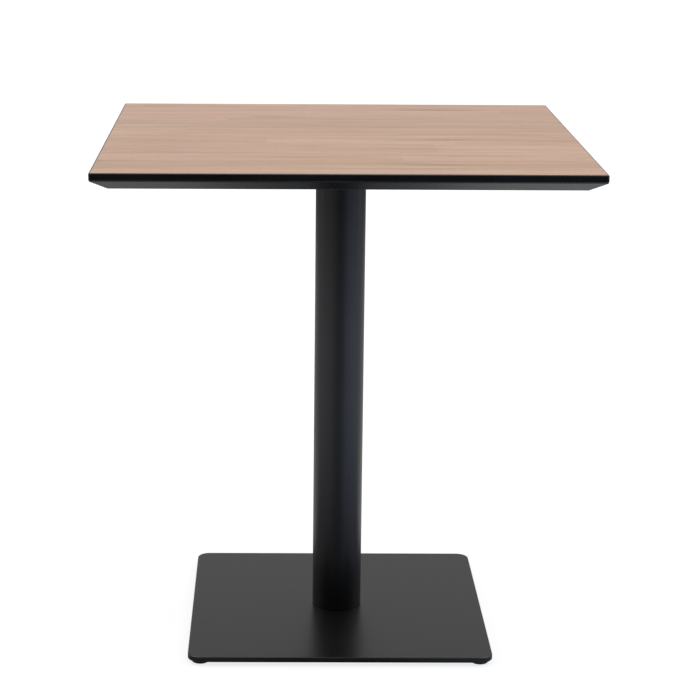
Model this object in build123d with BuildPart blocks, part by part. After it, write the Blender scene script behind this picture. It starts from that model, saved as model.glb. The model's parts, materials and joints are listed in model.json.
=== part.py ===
from build123d import *
import math
import os

os.makedirs("parts", exist_ok=True)

# Pedestal bistro table. Row frame: origin on the floor under the centre of the
# column, +Z up, +X along the front edge of the top, -Y towards the guest at the front.
# All sizes in millimetres.

# ------------------------------------------------------------ driving dimensions
height = 760.0  # floor to the top face
top_side = 700.0  # square top, outside
top_corner_r = 3.0  # vertical corners of the top
edge_h = 11.0  # upright part of the edge
bevel_h = 14.0  # height of the reverse bevel
bevel_in = 24.0  # how far the bevel runs in under the top
edge_soft_r = 2.5  # rounding between the upright edge and the bevel
edge_top_r = 2.0  # rounding along the top of the upright edge
edge_line = 2.2  # black lipping left showing round the laminate, seen from above
laminate_t = 0.8
backing_t = 0.8
lipping_w = 30.0

bracket_t = 5.0
bracket_span = 400.0  # arm tip to arm tip
bracket_arm_w = 44.0
bracket_hub_d = 116.0
arm_hole_r_inner = 100.0  # from the centre, along an arm
arm_hole_r_outer = 176.0

tube_d = 76.1
tube_wall = 2.0
head_plate_t = 6.0
foot_plate_t = 8.0
flange_bolt_pcd = 48.0

base_side = 455.0
base_t = 8.0
base_corner_r = 20.0
floor_gap = 6.0  # underside of the base plate above the floor
foot_inset = 19.0  # centre of a foot from each edge of the plate

# ------------------------------------------------------------ derived heights
z_top = height
z_core_top = z_top - laminate_t
z_edge_low = z_top - edge_h
z_under = z_edge_low - bevel_h
z_core_low = z_under + backing_t
z_bracket_low = z_under - bracket_t
z_base_low = floor_gap
z_base_top = floor_gap + base_t
half_top = top_side / 2
half_base = base_side / 2
tube_r = tube_d / 2
bore_r = tube_r - tube_wall
bevel_slope = bevel_h / bevel_in


def side_plane(turn):
    """Upright plane through the Z axis whose local x points out of one side of the top."""
    a = math.radians(turn)
    return Plane(
        origin=(0, 0, 0),
        x_dir=(math.cos(a), math.sin(a), 0),
        z_dir=(math.sin(a), -math.cos(a), 0),
    )


def below_bevel():
    """Profile (outwards, up) of everything that the bevel cutter takes off one side."""
    out, back = 6.0, 8.0
    return [
        (half_top + out, z_edge_low + out * bevel_slope),
        (half_top - bevel_in - back, z_under - back * bevel_slope),
        (half_top + out, z_under - back * bevel_slope),
    ]


def thread(r_major, r_minor, pitch, z_from, z_to):
    """(radius, height) points of a ridged shank standing in for a screw thread."""
    count = int((z_to - z_from) / pitch)
    start = z_from + (z_to - z_from - count * pitch) / 2
    points = []
    for i in range(count):
        z = start + i * pitch
        points += [(r_major, z + 0.08 * pitch), (r_minor, z + 0.5 * pitch)]
        points += [(r_major, z + 0.92 * pitch)]
    return points


# ============================================================ TABLETOP
# Decor laminate, let in flush inside the black lippings. Its sanded edge shows the dark core.
laminate_side = top_side - 2 * edge_line
laminate_corner_r = 1.0
with BuildPart() as top_laminate:
    with BuildSketch(Plane.XY.offset(z_core_top)):
        RectangleRounded(laminate_side, laminate_side, laminate_corner_r)
    extrude(amount=laminate_t)
    fillet(top_laminate.faces().sort_by(Axis.Z)[-1].edges(), radius=0.25)
top_laminate.part.label = "top_laminate"

# Where the bracket screws go: two on each of four diagonal arms.
insert_spots = [
    (r * math.cos(math.radians(a)), r * math.sin(math.radians(a)))
    for a in (45, 135, 225, 315)
    for r in (arm_hole_r_inner, arm_hole_r_outer)
]
insert_r = 5.0
insert_len = 13.0

core_side = top_side - 2 * lipping_w
with BuildPart() as tabletop_core:
    with BuildSketch(Plane.XY.offset(z_core_low)):
        Rectangle(core_side, core_side)
    extrude(amount=z_core_top - z_core_low)
    with BuildSketch(Plane.XY.offset(z_core_low)):
        with Locations(*insert_spots):
            Circle(insert_r + 0.05)
    extrude(amount=insert_len + 0.7, mode=Mode.SUBTRACT)
tabletop_core.part.label = "tabletop_core"

# Four mitred hardwood lippings round the core, standing up past the rim of the laminate.
# The upright edge and the whole bevel are milled in them, with both arrises rounded over.
lipping_turn = {"right": 0, "back": 90, "left": 180, "front": 270}
lippings = {}
for side, turn in lipping_turn.items():
    inner = half_top - lipping_w
    with BuildPart() as lipping:
        with BuildSketch(Plane.XY.offset(z_core_low)):
            RectangleRounded(top_side, top_side, top_corner_r)
        extrude(amount=z_top - z_core_low)
        fillet(lipping.faces().sort_by(Axis.Z)[-1].edges(), radius=edge_top_r)
        with BuildSketch(Plane.XY.offset(z_core_low)):
            with Locations(Rotation(0, 0, turn)):
                Polygon(
                    (inner, -inner),
                    (half_top + 5, -half_top - 5),
                    (half_top + 5, half_top + 5),
                    (inner, inner),
                    align=None,
                )
        extrude(amount=z_top - z_core_low, mode=Mode.INTERSECT)
        with BuildSketch(Plane.XY.offset(z_core_top)):
            RectangleRounded(laminate_side, laminate_side, laminate_corner_r)
        extrude(amount=laminate_t, mode=Mode.SUBTRACT)
        with BuildSketch(side_plane(turn)):
            Polygon(*below_bevel(), align=None)
        extrude(amount=half_top + 10, both=True, mode=Mode.SUBTRACT)
        arris = [
            e
            for e in lipping.edges().filter_by(GeomType.LINE)
            if abs(e.center().Z - z_edge_low) < 0.01 and e.length > 100
        ]
        fillet(arris, radius=edge_soft_r)
    lippings[side] = lipping.part
    lippings[side].label = f"edge_lipping_{side}"

# Black balancing laminate under the core, its rim cut on the same bevel.
with BuildPart() as backing_laminate:
    backing_side = top_side - 2 * bevel_in + 8
    with BuildSketch(Plane.XY.offset(z_under)):
        Rectangle(backing_side, backing_side)
        with Locations(*insert_spots):
            Circle(insert_r + 0.05, mode=Mode.SUBTRACT)
    extrude(amount=backing_t)
    for turn in lipping_turn.values():
        with BuildSketch(side_plane(turn)):
            Polygon(*below_bevel(), align=None)
        extrude(amount=half_top + 10, both=True, mode=Mode.SUBTRACT)
backing_laminate.part.label = "backing_laminate"

# Threaded insert nut for the bracket screws: coarse outside ridges, plain bore.
m6_hole_r = 3.1
insert_low = z_under + 0.3
insert_top = insert_low + insert_len
with BuildPart() as insert_one:
    with BuildSketch(Plane.XZ):
        with BuildLine():
            Polyline(
                (m6_hole_r + 0.5, insert_low),
                (insert_r - 0.05, insert_low),
                (insert_r - 0.05, insert_low + 1.6),
                *thread(insert_r - 0.05, insert_r - 1.0, 2.4, insert_low + 1.8, insert_top - 0.6),
                (insert_r - 0.9, insert_top),
                (m6_hole_r, insert_top),
                (m6_hole_r, insert_low + 0.5),
                close=True,
            )
        make_face()
    revolve(axis=Axis.Z)
with BuildPart() as threaded_inserts:
    with Locations(*insert_spots):
        add(insert_one.part)
threaded_inserts.part.label = "threaded_inserts"

# ============================================================ BRACKET UNDER THE TOP
csk_r = 8.3  # countersink mouth for an M8 countersunk screw
m8_clear_r = 4.5
m8_tap_r = 4.05
flange_spots = [
    (flange_bolt_pcd / 2 * math.cos(math.radians(a)), flange_bolt_pcd / 2 * math.sin(math.radians(a)))
    for a in (0, 90, 180, 270)
]
with BuildPart() as top_bracket:
    with BuildSketch(Plane.XY.offset(z_bracket_low)) as bracket_outline:
        Circle(bracket_hub_d / 2)
        SlotOverall(bracket_span, bracket_arm_w, rotation=45)
        SlotOverall(bracket_span, bracket_arm_w, rotation=135)
        inner_corners = [
            v
            for v in bracket_outline.vertices()
            if abs(math.hypot(v.X, v.Y) - bracket_hub_d / 2) < 0.5
        ]
        fillet(inner_corners, radius=14)
        for a in (45, 135, 225, 315):
            with Locations(Rotation(0, 0, a)):
                with Locations((arm_hole_r_inner, 0)):
                    Circle(3.5, mode=Mode.SUBTRACT)
                with Locations((arm_hole_r_outer, 0)):
                    SlotOverall(13, 7, mode=Mode.SUBTRACT)
    extrude(amount=bracket_t)
    chamfer(
        top_bracket.faces().sort_by(Axis.Z)[0].outer_wire().edges(), length=0.8
    )
    with Locations(Plane.XY.offset(z_under)):
        with Locations(*flange_spots):
            CounterSinkHole(radius=m8_clear_r, counter_sink_radius=csk_r, depth=bracket_t + 1, counter_sink_angle=90)
top_bracket.part.label = "top_bracket"


def csk_screw_profile(length):
    """M8 countersunk screw standing on its shank tip: head face at height 0, shank below."""
    minor, major = 3.25, 3.95
    tip = -length
    shank_top = -4.6
    ridges = thread(major, minor, 1.25, tip + 1.0, shank_top)
    return [
        (0, -0.2),
        (8.0, -0.2),
        (8.0, -0.25),
        (major + 0.1, -4.2),
        (major, -4.4),
        *reversed(ridges),
        (major, tip + 0.7),
        (minor, tip),
        (0, tip),
    ]


def hex_points(across_flats):
    r = across_flats / math.sqrt(3)
    return r


# Screws through the bracket into the column head, heads up under the top.
head_bolt_len = 10.5
with BuildPart() as head_bolt:
    with BuildSketch(Plane.XZ):
        with BuildLine():
            Polyline(*csk_screw_profile(head_bolt_len), close=True)
        make_face()
    revolve(axis=Axis.Z)
    with BuildSketch(Plane.XY):
        RegularPolygon(hex_points(5.0), 6)
    extrude(amount=-2.8, mode=Mode.SUBTRACT)
with BuildPart() as bracket_bolts:
    with Locations(*[(x, y, z_under) for x, y in flange_spots]):
        add(head_bolt.part)
bracket_bolts.part.label = "bracket_bolts"

# M6 button-head screws with washers, up through the arms into the inserts.
washer_t = 1.6
z_washer_low = z_bracket_low - washer_t
with BuildPart() as washer_one:
    with BuildSketch(Plane.XY.offset(z_washer_low)):
        Circle(6.0)
        Circle(3.2, mode=Mode.SUBTRACT)
    extrude(amount=washer_t)
    chamfer(washer_one.faces().sort_by(Axis.Z)[0].outer_wire().edges(), length=0.25)
with BuildPart() as bracket_washers:
    with Locations(*insert_spots):
        add(washer_one.part)
bracket_washers.part.label = "bracket_washers"

button_r, button_h = 5.25, 3.3
m6_len = 16.0
with BuildPart() as m6_one:
    with BuildSketch(Plane.XZ):
        z0 = z_washer_low
        with BuildLine():
            crown = ThreePointArc(
                (2.6, z0 - button_h), (4.5, z0 - 2.35), (button_r, z0 - 0.5)
            )
            Polyline(
                (button_r, z0 - 0.5),
                (button_r, z0),
                (2.95, z0),
                (2.95, z0 + 1.0),
                *thread(2.95, 2.4, 1.0, z0 + 2.0, z0 + m6_len - 0.8),
                (2.4, z0 + m6_len),
                (0, z0 + m6_len),
                (0, z0 - button_h),
                (2.6, z0 - button_h),
            )
        make_face()
    revolve(axis=Axis.Z)
    with BuildSketch(Plane.XY.offset(z_washer_low - button_h)):
        RegularPolygon(hex_points(4.0), 6)
    extrude(amount=2.0, mode=Mode.SUBTRACT)
with BuildPart() as bracket_screws:
    with Locations(*insert_spots):
        add(m6_one.part)
bracket_screws.part.label = "bracket_screws"

# ============================================================ COLUMN
with BuildPart() as column_tube:
    with BuildSketch(Plane.XY.offset(z_base_top)):
        Circle(tube_r)
        Circle(bore_r, mode=Mode.SUBTRACT)
    extrude(amount=z_bracket_low - z_base_top)
    rims = [
        e
        for f in (column_tube.faces().sort_by(Axis.Z)[0], column_tube.faces().sort_by(Axis.Z)[-1])
        for e in f.outer_wire().edges()
    ]
    chamfer(rims, length=0.4)
column_tube.part.label = "column_tube"

# Discs welded flush inside the two ends of the tube, each tapped M8 four times.
with BuildPart() as column_head_plate:
    with BuildSketch(Plane.XY.offset(z_bracket_low - head_plate_t)):
        Circle(bore_r - 0.05)
        with Locations(*flange_spots):
            Circle(m8_tap_r, mode=Mode.SUBTRACT)
    extrude(amount=head_plate_t)
column_head_plate.part.label = "column_head_plate"

with BuildPart() as column_foot_plate:
    with BuildSketch(Plane.XY.offset(z_base_top)):
        Circle(bore_r - 0.05)
        with Locations(*flange_spots):
            Circle(m8_tap_r, mode=Mode.SUBTRACT)
    extrude(amount=foot_plate_t)
column_foot_plate.part.label = "column_foot_plate"

# ============================================================ BASE PLATE
foot_spots = {
    "front_left": (-half_base + foot_inset, -half_base + foot_inset),
    "front_right": (half_base - foot_inset, -half_base + foot_inset),
    "back_left": (-half_base + foot_inset, half_base - foot_inset),
    "back_right": (half_base - foot_inset, half_base - foot_inset),
}
stud_r = 3.0
stud_bore_r = stud_r + 0.08
stud_engaged = 5.8
with BuildPart() as base_plate:
    with BuildSketch(Plane.XY.offset(z_base_low)):
        RectangleRounded(base_side, base_side, base_corner_r)
    extrude(amount=base_t)
    fillet(base_plate.faces().sort_by(Axis.Z)[-1].edges(), radius=1.6)
    fillet(base_plate.faces().sort_by(Axis.Z)[0].edges(), radius=0.8)
    with Locations(Plane.XY.offset(z_base_low).rotated((180, 0, 0))):
        with Locations(*flange_spots):
            CounterSinkHole(radius=m8_clear_r, counter_sink_radius=csk_r, depth=base_t + 1, counter_sink_angle=90)
    with BuildSketch(Plane.XY.offset(z_base_low)):
        with Locations(*foot_spots.values()):
            Circle(stud_bore_r)
    extrude(amount=stud_engaged + 0.5, mode=Mode.SUBTRACT)
base_plate.part.label = "base_plate"

# Screws up through the base plate into the column foot, heads flush underneath.
base_bolt_len = 15.0
with BuildPart() as base_bolt:
    with BuildSketch(Plane.XZ):
        with BuildLine():
            Polyline(*[(r, -z) for r, z in csk_screw_profile(base_bolt_len)], close=True)
        make_face()
    revolve(axis=Axis.Z)
    with BuildSketch(Plane.XY):
        RegularPolygon(hex_points(5.0), 6)
    extrude(amount=2.8, mode=Mode.SUBTRACT)
with BuildPart() as base_bolts:
    with Locations(*[(x, y, z_base_low) for x, y in flange_spots]):
        add(base_bolt.part)
base_bolts.part.label = "base_bolts"

# ============================================================ LEVELLING FEET
# A turning stud with a hexagon collar, clipped into a pad that stays still on the floor.
with BuildPart() as sole_one:
    with BuildSketch():
        Circle(10.5)
    extrude(amount=1.55)
    chamfer(sole_one.faces().sort_by(Axis.Z)[0].edges(), length=0.3)

pad_top = 4.4
with BuildPart() as pad_one:
    with BuildSketch(Plane.XZ):
        with BuildLine():
            Polyline(
                (0, 1.6),
                (10.6, 1.6),
                (10.6, 0.8),
                (12.2, 0.8),
                (12.9, 1.5),
                (13.0, 2.3),
            )
            ThreePointArc((13.0, 2.3), (12.28, 3.62), (10.4, pad_top))
            Polyline(
                (10.4, pad_top),
                (7.15, pad_top),
                (7.15, 4.0),
                (7.7, 4.0),
                (7.7, 2.4),
                (0, 2.4),
                (0, 1.6),
            )
        make_face()
    revolve(axis=Axis.Z)

hex_af = 12.0
with BuildPart() as stud_one:
    with BuildSketch(Plane.XZ):
        with BuildLine():
            Polyline(
                (0, 2.5),
                (7.1, 2.5),
                (7.45, 2.85),
                (7.45, 3.85),
                (2.9, 3.85),
                (2.9, floor_gap - 0.1),
                *thread(stud_r, 2.45, 1.0, floor_gap, floor_gap + stud_engaged - 0.6),
                (2.45, floor_gap + stud_engaged),
                (0, floor_gap + stud_engaged),
                close=True,
            )
        make_face()
    revolve(axis=Axis.Z)
    with BuildSketch(Plane.XY.offset(3.85)):
        RegularPolygon(hex_points(hex_af), 6)
    extrude(amount=floor_gap - 0.3 - 3.85)

# ============================================================ EXPORT
parts = {
    "top_laminate": top_laminate.part,
    "tabletop_core": tabletop_core.part,
    "backing_laminate": backing_laminate.part,
    "threaded_inserts": threaded_inserts.part,
    "top_bracket": top_bracket.part,
    "bracket_bolts": bracket_bolts.part,
    "bracket_washers": bracket_washers.part,
    "bracket_screws": bracket_screws.part,
    "column_tube": column_tube.part,
    "column_head_plate": column_head_plate.part,
    "column_foot_plate": column_foot_plate.part,
    "base_plate": base_plate.part,
    "base_bolts": base_bolts.part,
}
for side, piece in lippings.items():
    parts[f"edge_lipping_{side}"] = piece

for corner, (x, y) in foot_spots.items():
    with BuildPart() as foot_sole:
        with Locations((x, y, 0)):
            add(sole_one.part)
    with BuildPart() as foot_pad:
        with Locations((x, y, 0)):
            add(pad_one.part)
    with BuildPart() as foot_stud:
        with Locations((x, y, 0)):
            add(stud_one.part)
    foot_sole.part.label = f"foot_sole_{corner}"
    foot_pad.part.label = f"foot_pad_{corner}"
    foot_stud.part.label = f"foot_stud_{corner}"
    parts[foot_sole.part.label] = foot_sole.part
    parts[foot_pad.part.label] = foot_pad.part
    parts[foot_stud.part.label] = foot_stud.part

for name, piece in parts.items():
    export_step(piece, f"parts/{name}.step")

print("nodes", len(parts), "solids", sum(len(p.solids()) for p in parts.values()))
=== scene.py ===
import json
import math

import bpy
from mathutils import Matrix, Vector

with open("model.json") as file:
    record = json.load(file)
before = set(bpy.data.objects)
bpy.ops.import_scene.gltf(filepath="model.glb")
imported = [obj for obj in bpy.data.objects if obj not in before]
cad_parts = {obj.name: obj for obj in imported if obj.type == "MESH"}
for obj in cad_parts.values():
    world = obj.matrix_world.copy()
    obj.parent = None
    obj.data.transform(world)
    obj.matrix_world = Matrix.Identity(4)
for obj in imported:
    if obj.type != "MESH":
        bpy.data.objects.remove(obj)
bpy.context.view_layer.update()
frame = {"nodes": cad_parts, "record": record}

nodes = frame["nodes"]
scene = bpy.context.scene
scene.view_settings.view_transform = "Standard"


# ------------------------------------------------------------------ node helpers
class Tree:
    """Short ways to add and join shader nodes in one material or world."""

    def __init__(self, tree):
        self.tree = tree
        self.n = tree.nodes
        self.n.clear()

    def add(self, kind, **props):
        node = self.n.new(kind)
        for k, v in props.items():
            setattr(node, k, v)
        return node

    def put(self, socket, value):
        if isinstance(value, bpy.types.NodeSocket):
            self.tree.links.new(value, socket)
        elif isinstance(value, (int, float)) and socket.type in ("RGBA", "VECTOR"):
            size = len(socket.default_value)
            socket.default_value = ([value] * 3 + [1.0])[:size]
        elif isinstance(value, (tuple, list)) and socket.type == "RGBA" and len(value) == 3:
            socket.default_value = (*value, 1.0)
        else:
            socket.default_value = value

    def math(self, op, a, b=0.0, c=None, clamp=False):
        node = self.add("ShaderNodeMath", operation=op, use_clamp=clamp)
        self.put(node.inputs[0], a)
        self.put(node.inputs[1], b)
        if c is not None:
            self.put(node.inputs[2], c)
        return node.outputs[0]

    def vmath(self, op, a, b=None, scale=None):
        node = self.add("ShaderNodeVectorMath", operation=op)
        self.put(node.inputs[0], a)
        if b is not None:
            self.put(node.inputs[1], b)
        if scale is not None:
            self.put(node.inputs["Scale"], scale)
        return node.outputs["Value"] if op in ("DOT_PRODUCT", "LENGTH", "DISTANCE") else node.outputs[0]

    def xyz(self, vector):
        node = self.add("ShaderNodeSeparateXYZ")
        self.put(node.inputs[0], vector)
        return node.outputs

    def join(self, x, y, z):
        node = self.add("ShaderNodeCombineXYZ")
        for s, v in zip(node.inputs, (x, y, z)):
            self.put(s, v)
        return node.outputs[0]

    def noise(self, vector, scale=1.0, detail=2.0, rough=0.5, lacunarity=2.0, distort=0.0, dims="3D", out=0, normalize=True):
        node = self.add("ShaderNodeTexNoise", noise_dimensions=dims, normalize=normalize)
        if vector is not None:
            self.put(node.inputs["Vector"], vector)
        self.put(node.inputs["Scale"], scale)
        self.put(node.inputs["Detail"], detail)
        self.put(node.inputs["Roughness"], rough)
        self.put(node.inputs["Lacunarity"], lacunarity)
        self.put(node.inputs["Distortion"], distort)
        return node.outputs[out]

    def voronoi(self, vector, scale=1.0, feature="F1", out="Distance", randomness=1.0):
        node = self.add("ShaderNodeTexVoronoi", feature=feature)
        self.put(node.inputs["Vector"], vector)
        self.put(node.inputs["Scale"], scale)
        self.put(node.inputs["Randomness"], randomness)
        return node.outputs[out]

    def white(self, vector):
        node = self.add("ShaderNodeTexWhiteNoise", noise_dimensions="3D")
        self.put(node.inputs["Vector"], vector)
        return node.outputs["Value"], node.outputs["Color"]

    def ramp(self, value, lo, hi, to_lo=0.0, to_hi=1.0, smooth=True):
        node = self.add(
            "ShaderNodeMapRange", interpolation_type="SMOOTHSTEP" if smooth else "LINEAR"
        )
        self.put(node.inputs["Value"], value)
        self.put(node.inputs["From Min"], lo)
        self.put(node.inputs["From Max"], hi)
        self.put(node.inputs["To Min"], to_lo)
        self.put(node.inputs["To Max"], to_hi)
        return node.outputs["Result"]

    def mix(self, factor, a, b, blend="MIX"):
        node = self.add("ShaderNodeMix", data_type="RGBA", blend_type=blend, clamp_factor=True)
        self.put(node.inputs["Factor"], factor)
        self.put(node.inputs[6], a)
        self.put(node.inputs[7], b)
        return node.outputs[2]

    def bump(self, height, strength, distance, normal=None):
        node = self.add("ShaderNodeBump")
        self.put(node.inputs["Strength"], strength)
        self.put(node.inputs["Distance"], distance)
        self.put(node.inputs["Height"], height)
        if normal is not None:
            self.put(node.inputs["Normal"], normal)
        return node.outputs[0]


def material(name):
    m = bpy.data.materials.new(name)
    m.use_nodes = True
    t = Tree(m.node_tree)
    out = t.add("ShaderNodeOutputMaterial")
    b = t.add("ShaderNodeBsdfPrincipled")
    m.node_tree.links.new(b.outputs[0], out.inputs[0])
    place = t.add("ShaderNodeTexCoord").outputs["Object"]
    return m, t, b, place


# ------------------------------------------------------------------ materials
STAVE_W = 0.0775
STAVE_L = 1.15


def wood_decor():
    """Printed wood decor: long staves with straight grain along X, flames, fine pores, satin finish."""
    m, t, b, place = material("wood_decor_look")
    x, y, z = t.xyz(place)

    # Rows of staves along X, each row starting at its own place along the length.
    row_pos = t.math("DIVIDE", t.math("ADD", y, 0.4662), STAVE_W)
    row = t.math("FLOOR", row_pos)
    row_hash, _ = t.white(t.join(row, 3.7, 1.3))
    col_pos = t.math("DIVIDE", t.math("ADD", x, t.math("MULTIPLY", row_hash, 5.0)), STAVE_L)
    col = t.math("FLOOR", col_pos)
    stave = t.join(row, col, 9.1)
    tone_v, tone_c = t.white(stave)
    c1, c2, c3 = t.xyz(tone_c)

    # Every stave is cut from its own place in the wood.
    seed_x = t.math("MULTIPLY", c1, 40.0)
    seed_y = t.math("MULTIPLY", c2, 40.0)
    gx = t.math("ADD", x, seed_x)
    gy = t.math("ADD", y, seed_y)

    # Slow wander of the grain lines.
    wander = t.noise(t.join(t.math("MULTIPLY", gx, 2.2), t.math("MULTIPLY", gy, 9.0), seed_y), 1.0, 3.0, 0.55)
    wander2 = t.noise(t.join(t.math("MULTIPLY", gx, 9.0), t.math("MULTIPLY", gy, 22.0), seed_x), 1.0, 2.0, 0.5)
    gy_w = t.math("ADD", gy, t.math("MULTIPLY", t.math("SUBTRACT", wander, 0.5), 0.030))
    gy_w = t.math("ADD", gy_w, t.math("MULTIPLY", t.math("SUBTRACT", wander2, 0.5), 0.0035))

    # Growth rings cut along the grain: broad soft bands, then finer ones.
    broad = t.noise(t.join(t.math("MULTIPLY", gx, 2.0), t.math("MULTIPLY", gy_w, 60.0), 0.0), 1.0, 3.0, 0.55)
    rings = t.noise(t.join(t.math("MULTIPLY", gx, 3.0), t.math("MULTIPLY", gy_w, 210.0), 4.0), 1.0, 3.0, 0.6)
    fine = t.noise(t.join(t.math("MULTIPLY", gx, 5.0), t.math("MULTIPLY", gy_w, 900.0), 8.0), 1.0, 4.0, 0.65)
    fibre = t.noise(t.join(t.math("MULTIPLY", gx, 60.0), t.math("MULTIPLY", gy_w, 3600.0), 2.0), 1.0, 2.0, 0.6)

    # Open pores: short dark dashes that follow the grain, thicker in the dark bands.
    dash = t.noise(t.join(t.math("MULTIPLY", gx, 110.0), t.math("MULTIPLY", gy_w, 2600.0), 11.0), 1.0, 1.0, 0.5)
    dash2 = t.noise(t.join(t.math("MULTIPLY", gx, 45.0), t.math("MULTIPLY", gy_w, 1500.0), 17.0), 1.0, 1.0, 0.5)
    pores = t.math(
        "MAXIMUM",
        t.ramp(dash, 0.62, 0.72),
        t.math("MULTIPLY", t.ramp(dash2, 0.64, 0.74), 0.8),
    )
    pores = t.math("MULTIPLY", pores, t.ramp(rings, 0.35, 0.62, 0.35, 1.0))

    # A few darker streaks, as long as a finger.
    streak = t.noise(t.join(t.math("MULTIPLY", gx, 14.0), t.math("MULTIPLY", gy_w, 260.0), 23.0), 1.0, 2.0, 0.5)
    streak = t.ramp(streak, 0.68, 0.80)
    streak_where = t.ramp(t.noise(t.join(t.math("MULTIPLY", gx, 3.0), t.math("MULTIPLY", gy, 11.0), 31.0), 1.0, 1.0, 0.5), 0.54, 0.68)
    streak = t.math("MULTIPLY", streak, streak_where)

    # Now and then a thin dark line that runs on for a forearm's length.
    line = t.noise(t.join(t.math("MULTIPLY", gx, 1.5), t.math("MULTIPLY", gy_w, 120.0), 53.0), 1.0, 1.0, 0.5)
    line = t.math("ABSOLUTE", t.math("SUBTRACT", line, 0.5))
    line_where = t.ramp(t.noise(t.join(t.math("MULTIPLY", gx, 2.4), t.math("MULTIPLY", gy, 34.0), 59.0), 1.0, 1.0, 0.5), 0.55, 0.66)
    line = t.math("MULTIPLY", t.ramp(line, 0.060, 0.010), line_where)

    # Small dark flecks of figure, close together in a few places.
    fleck = t.noise(t.join(t.math("MULTIPLY", gx, 34.0), t.math("MULTIPLY", gy_w, 420.0), 61.0), 1.0, 2.0, 0.55)
    fleck_where = t.ramp(t.noise(t.join(t.math("MULTIPLY", gx, 5.0), t.math("MULTIPLY", gy, 17.0), 67.0), 1.0, 1.0, 0.5), 0.54, 0.68)
    fleck = t.math("MULTIPLY", t.ramp(fleck, 0.56, 0.70), fleck_where)

    # Soft flames the length of a hand, and slow drifts from pinkish to yellowish.
    flame = t.noise(t.join(t.math("MULTIPLY", gx, 6.5), t.math("MULTIPLY", gy_w, 120.0), 41.0), 1.0, 3.0, 0.55)
    drift = t.noise(t.join(t.math("MULTIPLY", gx, 3.0), t.math("MULTIPLY", gy, 26.0), 47.0), 1.0, 2.0, 0.5)

    light = (0.408, 0.264, 0.177)
    mid = (0.343, 0.203, 0.129)
    dark = (0.214, 0.110, 0.065)
    colour = t.mix(t.ramp(broad, 0.30, 0.70), light, mid)
    colour = t.mix(t.math("MULTIPLY", t.ramp(flame, 0.50, 0.70), 0.46), colour, (0.284, 0.152, 0.086))
    colour = t.mix(t.math("MULTIPLY", t.ramp(flame, 0.47, 0.30), 0.44), colour, (0.488, 0.330, 0.216))
    colour = t.mix(t.math("MULTIPLY", t.ramp(drift, 0.42, 0.64), 0.34), colour, (0.378, 0.214, 0.160))
    colour = t.mix(t.math("MULTIPLY", t.ramp(rings, 0.42, 0.80), 0.55), colour, dark)
    colour = t.mix(t.math("MULTIPLY", t.ramp(fine, 0.45, 0.85), 0.35), colour, dark)
    colour = t.mix(t.math("MULTIPLY", t.ramp(fibre, 0.35, 0.85), 0.16), colour, dark)
    colour = t.mix(t.math("MULTIPLY", streak, 0.50), colour, (0.150, 0.073, 0.045))
    colour = t.mix(t.math("MULTIPLY", line, 0.62), colour, (0.172, 0.084, 0.040))
    colour = t.mix(t.math("MULTIPLY", fleck, 0.55), colour, (0.178, 0.088, 0.044))
    colour = t.mix(t.math("MULTIPLY", pores, 0.42), colour, (0.130, 0.066, 0.040))

    # Each stave a little lighter or darker, and a little redder or yellower.
    bright = t.ramp(tone_v, 0.0, 1.0, 0.97, 1.085, smooth=False)
    warm = t.add("ShaderNodeCombineColor")
    t.put(warm.inputs[0], t.math("MULTIPLY", bright, t.ramp(c3, 0.0, 1.0, 0.99, 1.01, smooth=False)))
    t.put(warm.inputs[1], bright)
    t.put(warm.inputs[2], t.math("MULTIPLY", bright, t.ramp(c3, 0.0, 1.0, 0.955, 1.055, smooth=False)))
    colour = t.mix(1.0, colour, warm.outputs[0], blend="MULTIPLY")

    # Thin joints between staves.
    row_edge = t.math("ABSOLUTE", t.math("SUBTRACT", t.math("FRACT", row_pos), 0.5))
    row_edge = t.ramp(row_edge, 0.5 - 0.00050 / STAVE_W, 0.5 - 0.00010 / STAVE_W)
    col_edge = t.math("ABSOLUTE", t.math("SUBTRACT", t.math("FRACT", col_pos), 0.5))
    col_edge = t.ramp(col_edge, 0.5 - 0.00050 / STAVE_L, 0.5 - 0.00010 / STAVE_L)
    joint = t.math("MAXIMUM", row_edge, col_edge)
    colour = t.mix(t.math("MULTIPLY", joint, 0.22), colour, (0.160, 0.085, 0.052))

    # The trimmed edge shows the dark core of the laminate.
    up = t.xyz(t.add("ShaderNodeNewGeometry").outputs["Normal"])[2]
    face = t.ramp(up, 0.35, 0.60)
    core_speck = t.noise(t.vmath("SCALE", place, scale=900.0), 1.0, 3.0, 0.6)
    core = t.mix(core_speck, (0.020, 0.013, 0.009), (0.055, 0.034, 0.022))
    colour = t.mix(face, core, colour)
    t.put(b.inputs["Base Color"], colour)

    smudge = t.noise(t.join(t.math("MULTIPLY", x, 5.0), t.math("MULTIPLY", y, 7.0), 5.0), 1.0, 3.0, 0.6)
    rough = t.math("ADD", t.ramp(smudge, 0.3, 0.7, 0.300, 0.345), t.math("MULTIPLY", t.ramp(fine, 0.3, 0.8), 0.06))
    rough = t.math("ADD", rough, t.math("MULTIPLY", pores, 0.14))
    t.put(b.inputs["Roughness"], rough)
    b.inputs["IOR"].default_value = 1.5
    b.inputs["Specular IOR Level"].default_value = 0.5

    emboss = t.math("SUBTRACT", t.math("MULTIPLY", fine, 0.35), t.math("MULTIPLY", pores, 1.0))
    emboss = t.math("SUBTRACT", emboss, t.math("MULTIPLY", joint, 1.2))
    grit = t.noise(t.vmath("SCALE", place, scale=1600.0), 1.0, 2.0, 0.5)
    n = t.bump(grit, 0.18, 0.00004)
    n = t.bump(emboss, 0.45, 0.00006, n)
    t.put(b.inputs["Normal"], n)
    return m


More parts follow.
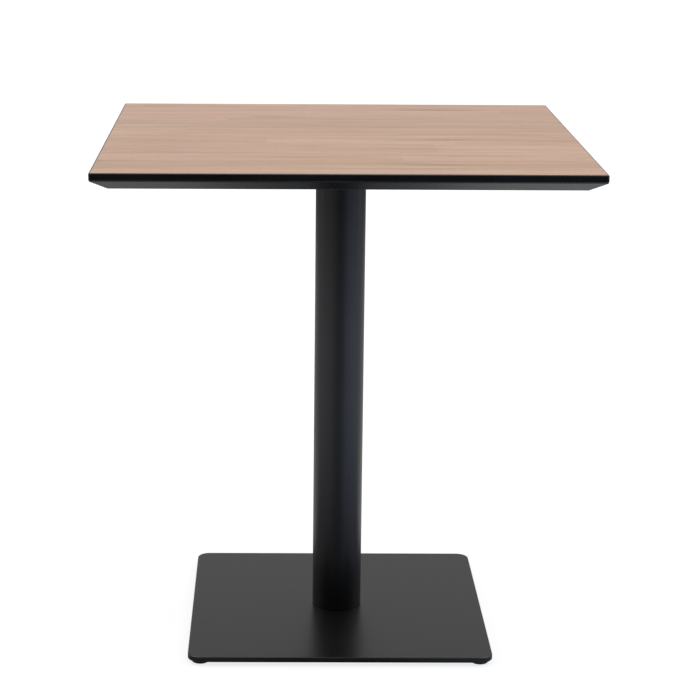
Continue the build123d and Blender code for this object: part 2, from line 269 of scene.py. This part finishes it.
def black_lacquer():
    """Satin black lacquer over sanded wood: slight orange peel, a trace of grain, faint rub marks."""
    m, t, b, place = material("black_lacquer_look")
    x, y, z = t.xyz(place)
    cloud = t.noise(t.vmath("SCALE", place, scale=9.0), 1.0, 4.0, 0.6)
    dust = t.noise(t.vmath("SCALE", place, scale=700.0), 1.0, 2.0, 0.6)
    colour = t.mix(t.ramp(cloud, 0.3, 0.7), (0.0016, 0.0016, 0.0016), (0.0027, 0.0026, 0.0027))
    colour = t.mix(t.math("MULTIPLY", t.ramp(dust, 0.66, 0.78), 0.35), colour, (0.016, 0.016, 0.016))
    t.put(b.inputs["Base Color"], colour)
    along = t.noise(t.join(t.math("MULTIPLY", x, 30.0), t.math("MULTIPLY", y, 30.0), t.math("MULTIPLY", z, 900.0)), 1.0, 3.0, 0.6)
    rough = t.math("ADD", t.ramp(cloud, 0.25, 0.75, 0.225, 0.275), t.math("MULTIPLY", along, 0.04))
    t.put(b.inputs["Roughness"], rough)
    b.inputs["IOR"].default_value = 1.5
    b.inputs["Specular IOR Level"].default_value = 0.5
    peel = t.noise(t.vmath("SCALE", place, scale=420.0), 1.0, 2.0, 0.45)
    n = t.bump(along, 0.20, 0.00003)
    n = t.bump(peel, 0.30, 0.00005, n)
    t.put(b.inputs["Normal"], n)
    return m


def powder_coat(name, lo, hi, rough_lo, rough_hi, level):
    """Fine-textured black powder coat on steel."""
    m, t, b, place = material(name)
    cloud = t.noise(t.vmath("SCALE", place, scale=6.0), 1.0, 4.0, 0.6)
    grain = t.noise(t.vmath("SCALE", place, scale=1500.0), 1.0, 3.0, 0.6)
    lumps = t.voronoi(t.vmath("SCALE", place, scale=1150.0), 1.0, "SMOOTH_F1")
    peel = t.noise(t.vmath("SCALE", place, scale=330.0), 1.0, 2.0, 0.5)
    colour = t.mix(t.ramp(cloud, 0.3, 0.7), lo, hi)
    colour = t.mix(t.math("MULTIPLY", t.ramp(grain, 0.62, 0.80), 0.30), colour, tuple(c * 2.2 for c in hi))
    t.put(b.inputs["Base Color"], colour)
    rough = t.math("ADD", t.ramp(cloud, 0.25, 0.75, rough_lo, rough_hi), t.math("MULTIPLY", t.math("SUBTRACT", grain, 0.5), 0.10))
    t.put(b.inputs["Roughness"], rough)
    b.inputs["IOR"].default_value = 1.5
    b.inputs["Specular IOR Level"].default_value = level
    n = t.bump(peel, 0.26, 0.00010)
    n = t.bump(lumps, 0.40, 0.00006, n)
    n = t.bump(grain, 0.25, 0.00003, n)
    t.put(b.inputs["Normal"], n)
    return m


def backing_sheet():
    """Black balancing laminate: matt, faintly mottled, with the fine texture of its press plate."""
    m, t, b, place = material("black_backing_look")
    x, y, z = t.xyz(place)
    cloud = t.noise(t.vmath("SCALE", place, scale=7.0), 1.0, 5.0, 0.6)
    weave = t.noise(t.join(t.math("MULTIPLY", x, 500.0), t.math("MULTIPLY", y, 1500.0), 0.0), 1.0, 2.0, 0.6)
    colour = t.mix(t.ramp(cloud, 0.3, 0.7), (0.012, 0.012, 0.0125), (0.019, 0.019, 0.0195))
    colour = t.mix(t.math("MULTIPLY", t.ramp(weave, 0.6, 0.8), 0.3), colour, (0.034, 0.033, 0.032))
    t.put(b.inputs["Base Color"], colour)
    t.put(b.inputs["Roughness"], t.math("ADD", t.ramp(cloud, 0.3, 0.7, 0.50, 0.60), t.math("MULTIPLY", weave, 0.08)))
    b.inputs["Specular IOR Level"].default_value = 0.4
    t.put(b.inputs["Normal"], t.bump(weave, 0.35, 0.00006))
    return m


def chipboard():
    """Flat wood chips pressed in resin."""
    m, t, b, place = material("chipboard_look")
    chips = t.voronoi(t.vmath("SCALE", place, scale=260.0), 1.0, "F1", "Color")
    v, _, _ = t.xyz(chips)
    dust = t.noise(t.vmath("SCALE", place, scale=900.0), 1.0, 3.0, 0.6)
    colour = t.mix(v, (0.36, 0.24, 0.13), (0.62, 0.47, 0.29))
    colour = t.mix(t.math("MULTIPLY", dust, 0.4), colour, (0.24, 0.15, 0.08))
    t.put(b.inputs["Base Color"], colour)
    t.put(b.inputs["Roughness"], t.ramp(dust, 0.2, 0.8, 0.75, 0.92))
    t.put(b.inputs["Normal"], t.bump(v, 0.5, 0.0002))
    return m


def turned_steel(name, lo, hi, metallic, rough_lo, rough_hi, pattern):
    """Plated or bare steel with turning or rolling marks."""
    m, t, b, place = material(name)
    x, y, z = t.xyz(place)
    if pattern == "rolled":
        marks = t.noise(t.join(t.math("MULTIPLY", x, 90.0), t.math("MULTIPLY", y, 2400.0), t.math("MULTIPLY", z, 400.0)), 1.0, 3.0, 0.6)
    else:
        marks = t.noise(t.join(t.math("MULTIPLY", x, 350.0), t.math("MULTIPLY", y, 350.0), t.math("MULTIPLY", z, 4200.0)), 1.0, 3.0, 0.6)
    cloud = t.noise(t.vmath("SCALE", place, scale=160.0), 1.0, 4.0, 0.6)
    colour = t.mix(t.ramp(cloud, 0.25, 0.75), lo, hi)
    colour = t.mix(t.math("MULTIPLY", t.ramp(marks, 0.5, 0.85), 0.25), colour, tuple(c * 0.55 for c in lo))
    t.put(b.inputs["Base Color"], colour)
    b.inputs["Metallic"].default_value = metallic
    t.put(b.inputs["Roughness"], t.math("ADD", t.ramp(cloud, 0.2, 0.8, rough_lo, rough_hi), t.math("MULTIPLY", marks, 0.10)))
    t.put(b.inputs["Normal"], t.bump(marks, 0.30, 0.00002))
    return m


def moulded(name, lo, hi, rough_lo, rough_hi, scale, depth):
    """Moulded nylon or rubber with a fine spark-eroded grain."""
    m, t, b, place = material(name)
    cloud = t.noise(t.vmath("SCALE", place, scale=120.0), 1.0, 4.0, 0.6)
    grain = t.noise(t.vmath("SCALE", place, scale=scale), 1.0, 3.0, 0.6)
    t.put(b.inputs["Base Color"], t.mix(t.ramp(cloud, 0.3, 0.7), lo, hi))
    t.put(b.inputs["Roughness"], t.math("ADD", t.ramp(cloud, 0.2, 0.8, rough_lo, rough_hi), t.math("MULTIPLY", t.math("SUBTRACT", grain, 0.5), 0.12)))
    b.inputs["Specular IOR Level"].default_value = 0.45
    t.put(b.inputs["Normal"], t.bump(grain, 0.45, depth))
    return m


LOOKS = {
    "wood_decor": wood_decor(),
    "black_lacquer": black_lacquer(),
    "black_powder_coat": powder_coat("black_powder_coat_look", (0.0006, 0.0006, 0.0007), (0.0012, 0.0012, 0.0013), 0.28, 0.33, 0.5),
    "black_backing": backing_sheet(),
    "chipboard": chipboard(),
    "bare_steel": turned_steel("bare_steel_look", (0.40, 0.39, 0.38), (0.56, 0.55, 0.54), 1.0, 0.34, 0.48, "rolled"),
    "zinc_steel": turned_steel("zinc_steel_look", (0.56, 0.57, 0.58), (0.74, 0.75, 0.74), 1.0, 0.26, 0.40, "turned"),
    "black_oxide_steel": turned_steel("black_oxide_look", (0.020, 0.020, 0.022), (0.040, 0.040, 0.042), 0.6, 0.32, 0.44, "turned"),
    "black_nylon": moulded("black_nylon_look", (0.010, 0.010, 0.010), (0.018, 0.018, 0.018), 0.46, 0.58, 2600.0, 0.00004),
    "rubber_sole": moulded("rubber_sole_look", (0.016, 0.016, 0.015), (0.028, 0.027, 0.026), 0.78, 0.92, 1800.0, 0.00008),
}
SLOT = {s["node"]: s["material_slot"] for s in frame["record"]["subparts"]}
for name, obj in nodes.items():
    look = LOOKS[SLOT[name]]
    for slot in obj.material_slots:
        slot.link = "OBJECT"
        slot.material = look


# ------------------------------------------------------------------ floor and studio
def painted_floor_glow(t):
    """Painted glow of the floor, as the surfaces that mirror it see it: bright to the left and right, with painted
    shade near the base and far away.
    """
    x, y, _ = t.xyz(t.add("ShaderNodeTexCoord").outputs["Object"])
    reach = t.math("SQRT", t.math("ADD", t.math("ADD", t.math("MULTIPLY", x, x), t.math("MULTIPLY", y, y)), 0.02))
    side = t.math("DIVIDE", x, reach)
    light = t.mix(t.ramp(side, -0.62, -0.16), (0.96, 0.96, 1.02), (0.56, 0.61, 0.72))
    light = t.mix(t.ramp(side, 0.14, 0.60), light, (1.09, 1.23, 1.54))
    # Behind the table the painted glow is dimmer.
    behind = t.mix(t.ramp(side, -0.5, 0.5), (0.60, 0.60, 0.60), (0.64, 0.65, 0.68))
    light = t.mix(t.ramp(t.math("DIVIDE", y, reach), -0.35, 0.45), light, behind)
    # Painted shadow of the table: near the column the glow drops to about a quarter.
    light = t.mix(t.ramp(reach, 0.15, 1.60, 0.27, 1.0), (0, 0, 0), light)
    # Far away and far in front, the painted glow fades almost to black.
    light = t.mix(t.ramp(reach, 2.4, 4.5), light, (0.004, 0.004, 0.005))
    light = t.mix(t.ramp(y, -3.3, -2.0, 0.05, 1.0), (0, 0, 0), light)
    # Two painted light patches behind the base, left and right of a painted column shadow.
    patch = t.math("MULTIPLY", t.ramp(y, 0.06, 0.26), t.ramp(y, 1.1, 0.5))
    wing = t.math("MULTIPLY", t.math("ABSOLUTE", t.math("SUBTRACT", x, 0.006)), patch)
    light = t.mix(t.ramp(wing, 0.04, 0.34), light, t.mix(t.ramp(x, -0.2, 0.2), (0.64, 0.64, 0.64), (0.78, 0.78, 0.79)))
    # Painted glow below the base plate, so that its underside is lit.
    under = t.math("MAXIMUM", t.math("ABSOLUTE", x), t.math("ABSOLUTE", y))
    return t.mix(t.ramp(under, 0.215, 0.232), (0.55, 0.55, 0.55), light)


def floor():
    size = 60.0
    mesh = bpy.data.meshes.new("floor")
    mesh.from_pydata(
        [(-size, -size, 0), (size, -size, 0), (size, size, 0), (-size, size, 0)], [], [(0, 1, 2, 3)]
    )
    obj = bpy.data.objects.new("floor", mesh)
    scene.collection.objects.link(obj)
    m = bpy.data.materials.new("studio_floor")
    m.use_nodes = True
    m.cycles.emission_sampling = "NONE"
    t = Tree(m.node_tree)
    out = t.add("ShaderNodeOutputMaterial")
    paper = t.add("ShaderNodeBsdfDiffuse")
    t.put(paper.inputs["Color"], (0.955, 0.955, 0.955))
    white = t.add("ShaderNodeEmission")
    t.put(white.inputs["Color"], (1.0, 1.0, 1.0))
    pale = t.add("ShaderNodeMixShader")
    t.put(pale.inputs[0], 0.80)
    t.put(pale.inputs[1], paper.outputs[0])
    t.put(pale.inputs[2], white.outputs[0])
    # To every ray but the camera's, the floor is this painted glow, not lit paper.
    painted_glow = t.add("ShaderNodeEmission")
    t.put(painted_glow.inputs["Color"], painted_floor_glow(t))
    seen = t.add("ShaderNodeMixShader")
    t.put(seen.inputs[0], t.add("ShaderNodeLightPath").outputs["Is Camera Ray"])
    t.put(seen.inputs[1], painted_glow.outputs[0])
    t.put(seen.inputs[2], pale.outputs[0])
    clear = t.add("ShaderNodeBsdfTransparent")
    pick = t.add("ShaderNodeMixShader")
    t.put(pick.inputs[0], t.add("ShaderNodeNewGeometry").outputs["Backfacing"])
    t.put(pick.inputs[1], seen.outputs[0])
    t.put(pick.inputs[2], clear.outputs[0])
    t.put(out.inputs[0], pick.outputs[0])
    mesh.materials.append(m)
    return obj


def studio():
    """Soft light from all round: a grey room, a large overhead box and one box high on each side."""
    w = bpy.data.worlds.new("studio")
    scene.world = w
    w.use_nodes = True
    t = Tree(w.node_tree)
    out = t.add("ShaderNodeOutputWorld")
    way = t.add("ShaderNodeTexCoord").outputs["Generated"]
    x, y, z = t.xyz(way)

    def box(direction, inner, outer):
        d = Vector(direction).normalized()
        near = t.vmath("DOT_PRODUCT", way, (d.x, d.y, d.z))
        return t.ramp(near, math.cos(math.radians(outer)), math.cos(math.radians(inner)))

    front = t.mix(t.ramp(z, 0.14, 0.44), (0.018, 0.018, 0.020), (0.26, 0.27, 0.30))
    back = t.mix(t.ramp(z, 0.06, 0.42), (0.60, 0.60, 0.60), (0.42, 0.42, 0.42))
    light = t.mix(t.ramp(y, -0.70, 0.30), front, back)
    for direction, inner, outer, colour in (
        ((0.0, 0.10, 1.0), 30, 52, (1.75, 1.74, 1.72)),
        ((-1.0, 0.10, 1.30), 14, 30, (1.70, 1.68, 1.63)),
        ((1.0, 0.10, 1.25), 14, 30, (2.05, 2.12, 2.25)),
    ):
        light = t.mix(1.0, light, t.mix(box(direction, inner, outer), (0, 0, 0), colour), blend="ADD")
    lit = t.add("ShaderNodeBackground")
    t.put(lit.inputs["Color"], light)
    lit.inputs["Strength"].default_value = 1.0
    white = t.add("ShaderNodeBackground")
    white.inputs["Color"].default_value = (1, 1, 1, 1)
    pick = t.add("ShaderNodeMixShader")
    t.put(pick.inputs[0], t.add("ShaderNodeLightPath").outputs["Is Camera Ray"])
    t.put(pick.inputs[1], lit.outputs[0])
    t.put(pick.inputs[2], white.outputs[0])
    t.put(out.inputs[0], pick.outputs[0])


def camera():
    """The camera stands 3.1 m in front, 1.23 m up, and looks 14 degrees down."""
    yaw, pitch, roll = 0.006478, 0.250585, 0.005236
    forward = Vector((math.sin(yaw) * math.cos(pitch), math.cos(yaw) * math.cos(pitch), -math.sin(pitch)))
    side = Vector((math.cos(yaw), -math.sin(yaw), 0.0))
    up = side.cross(forward)
    r = math.cos(roll) * side + math.sin(roll) * up
    u = -math.sin(roll) * side + math.cos(roll) * up
    data = bpy.data.cameras.new("camera")
    data.sensor_width = 36.0
    data.lens = 2097.0137 / 700.0 * 36.0
    data.shift_x = 60.0 / 700.0
    data.clip_start, data.clip_end = 0.05, 200.0
    obj = bpy.data.objects.new("camera", data)
    scene.collection.objects.link(obj)
    obj.matrix_world = Matrix(
        (
            (r.x, u.x, -forward.x, -0.096083),
            (r.y, u.y, -forward.y, -3.130374),
            (r.z, u.z, -forward.z, 1.228320),
            (0, 0, 0, 1),
        )
    )
    scene.camera = obj


floor()
studio()
camera()
